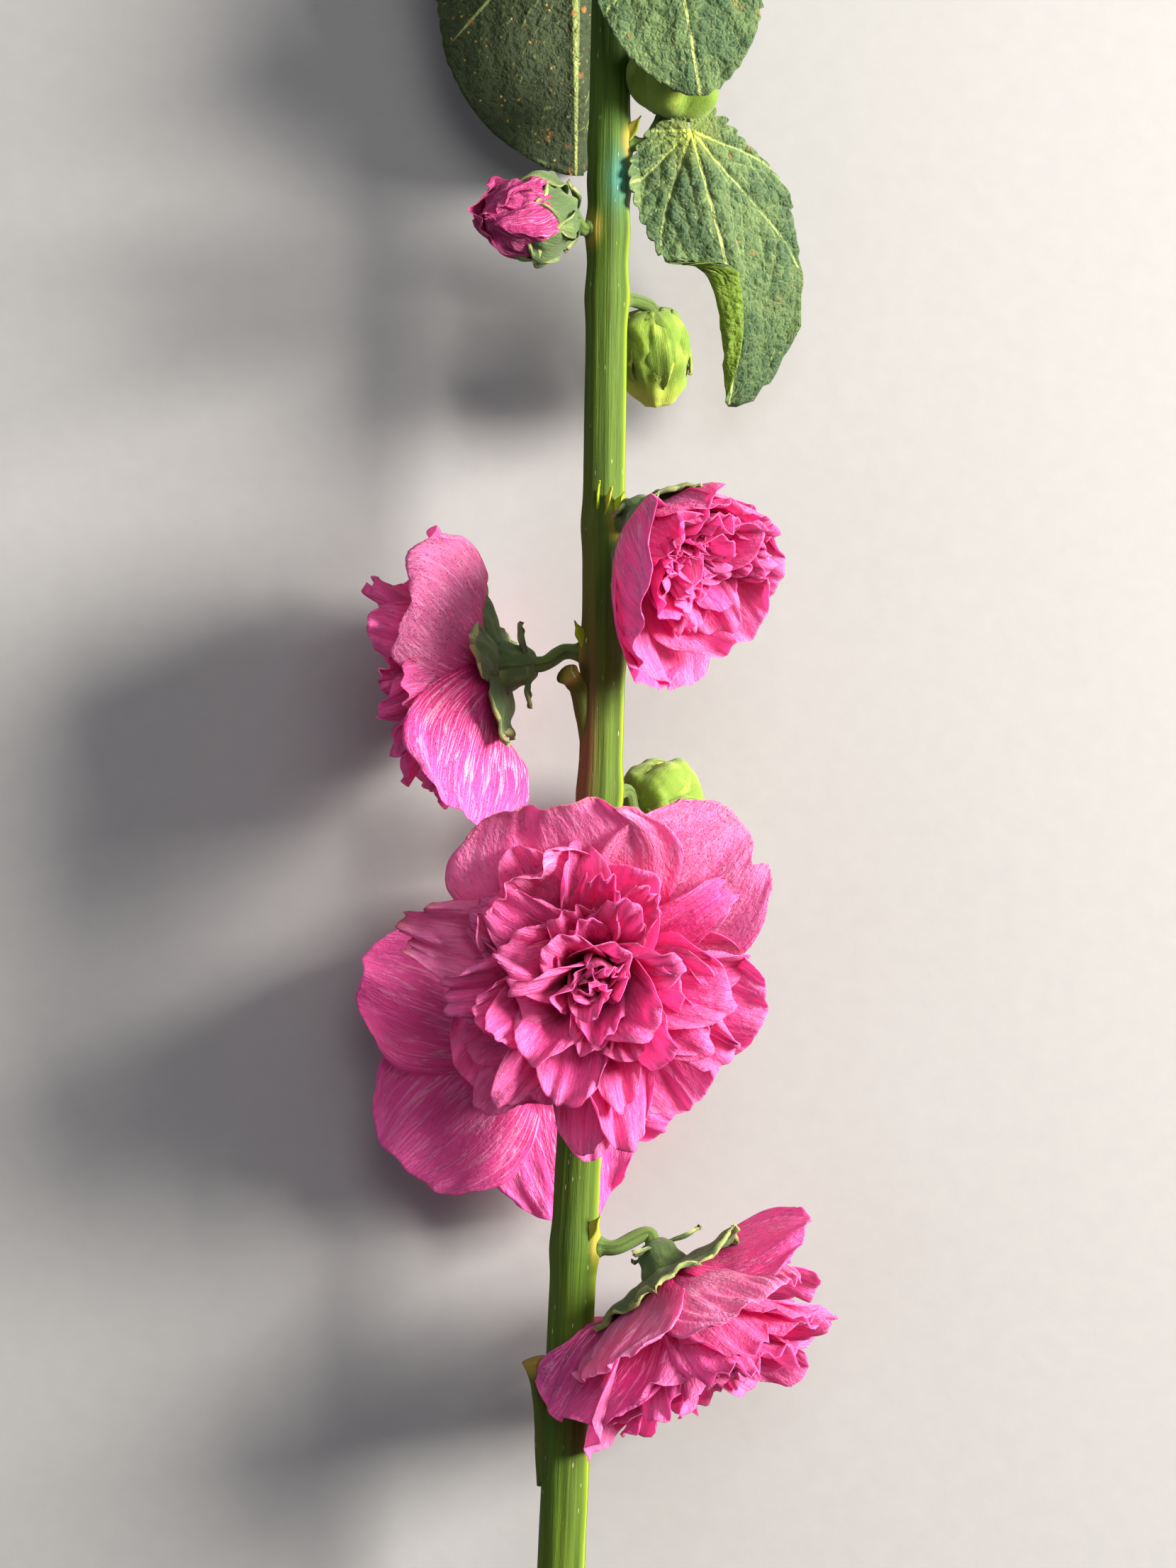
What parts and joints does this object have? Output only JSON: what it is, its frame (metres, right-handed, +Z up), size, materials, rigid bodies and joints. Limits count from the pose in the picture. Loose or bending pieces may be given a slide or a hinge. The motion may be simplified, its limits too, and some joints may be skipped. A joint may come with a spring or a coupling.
{
  "type": "hollyhock",
  "caption": "Cut hollyhock stem lying down, with double pink blooms, buds and lobed leaves along it.",
  "frame": {"origin": "middle of the plant's box in X and Y, at the surface that it lies on", "axes": "+Y along the stem from its cut end to its tip, +Z up, away from the surface"},
  "size_m": [0.1217, 0.5049, 0.0939],
  "materials": {
    "stem": "satin",
    "calyx": "matte",
    "bud": "matte",
    "leaf": "matte",
    "petals": "satin",
    "bud_petals": "satin"
  },
  "bodies": {
    "root": {"stem": "stem", "front_bloom_calyx": "calyx", "front_bloom_petals": "petals", "back_bloom_calyx": "calyx", "back_bloom_petals": "petals", "left_bloom_calyx": "calyx", "left_bloom_petals": "petals", "right_bloom_calyx": "calyx", "right_bloom_petals": "petals", "lower_bloom_calyx": "calyx", "lower_bloom_petals": "petals", "opening_bud_calyx": "calyx", "opening_bud_petals": "bud_petals", "bud_behind_front_bloom": "bud", "bud_below_leaf": "bud", "bud_under_top_leaf": "bud", "upper_bud_left": "bud", "upper_bud_right": "bud", "tip_bud": "bud", "leaf_right": "leaf", "leaf_top_right": "leaf", "leaf_top_left": "leaf"}
  },
  "joints": []
}
